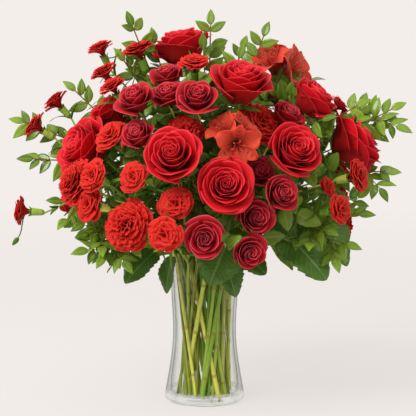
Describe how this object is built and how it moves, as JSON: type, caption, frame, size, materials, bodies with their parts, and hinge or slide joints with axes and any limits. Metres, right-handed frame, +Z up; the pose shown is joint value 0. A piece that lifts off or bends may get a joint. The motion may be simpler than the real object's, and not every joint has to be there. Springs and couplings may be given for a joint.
{
  "type": "bouquet in a vase",
  "caption": "Mixed red bouquet of roses, carnations and alstroemeria with leafy green sprigs, standing on crossed stems in a waisted clear glass vase.",
  "frame": {"origin": "middle of the vase's flat underside", "axes": "+Z up along the vase; the front, the side the bouquet is arranged to be seen from, faces -Y; +X to the viewer's right"},
  "size_m": [0.5932, 0.4311, 0.5748],
  "materials": {
    "vase_glass": "clear, smooth",
    "stems": "matte green stems, sepals and collar leaves",
    "branch_leaves": "glossy green leaves on thin reddish twigs",
    "rose_petals": "soft velvety crimson",
    "spray_rose_petals": "soft dark crimson",
    "carnation_petals": "soft scarlet with fringed edges",
    "alstroemeria_petals": "soft orange red"
  },
  "bodies": {
    "root": {"vase": "vase_glass", "flower_stems": "stems", "branch_1": "branch_leaves", "branch_2": "branch_leaves", "branch_3": "branch_leaves", "branch_4": "branch_leaves", "branch_5": "branch_leaves", "branch_6": "branch_leaves", "branch_7": "branch_leaves", "branch_8": "branch_leaves", "rose_1": "rose_petals", "rose_2": "rose_petals", "rose_3": "rose_petals", "rose_4": "rose_petals", "rose_5": "rose_petals", "rose_6": "rose_petals", "rose_7": "rose_petals", "rose_8": "rose_petals", "rose_9": "rose_petals", "rose_10": "rose_petals", "rose_11": "rose_petals", "rose_12": "rose_petals", "rose_13": "rose_petals", "spray_rose_1": "spray_rose_petals", "spray_rose_2": "spray_rose_petals", "spray_rose_3": "spray_rose_petals", "spray_rose_4": "spray_rose_petals", "spray_rose_5": "spray_rose_petals", "spray_rose_6": "spray_rose_petals", "spray_rose_7": "spray_rose_petals", "spray_rose_8": "spray_rose_petals", "spray_rose_9": "spray_rose_petals", "spray_rose_10": "spray_rose_petals", "spray_rose_11": "spray_rose_petals", "spray_rose_12": "spray_rose_petals", "spray_rose_13": "spray_rose_petals", "carnation_1": "carnation_petals", "carnation_2": "carnation_petals", "carnation_3": "carnation_petals", "carnation_4": "carnation_petals", "carnation_5": "carnation_petals", "carnation_6": "carnation_petals", "carnation_7": "carnation_petals", "carnation_8": "carnation_petals", "carnation_9": "carnation_petals", "carnation_10": "carnation_petals", "carnation_11": "carnation_petals", "carnation_12": "carnation_petals", "carnation_13": "carnation_petals", "carnation_14": "carnation_petals", "carnation_15": "carnation_petals", "carnation_16": "carnation_petals", "carnation_17": "carnation_petals", "carnation_18": "carnation_petals", "carnation_19": "carnation_petals", "carnation_20": "carnation_petals", "carnation_21": "carnation_petals", "carnation_22": "carnation_petals", "alstroemeria_1": "alstroemeria_petals", "alstroemeria_2": "alstroemeria_petals"}
  },
  "joints": []
}
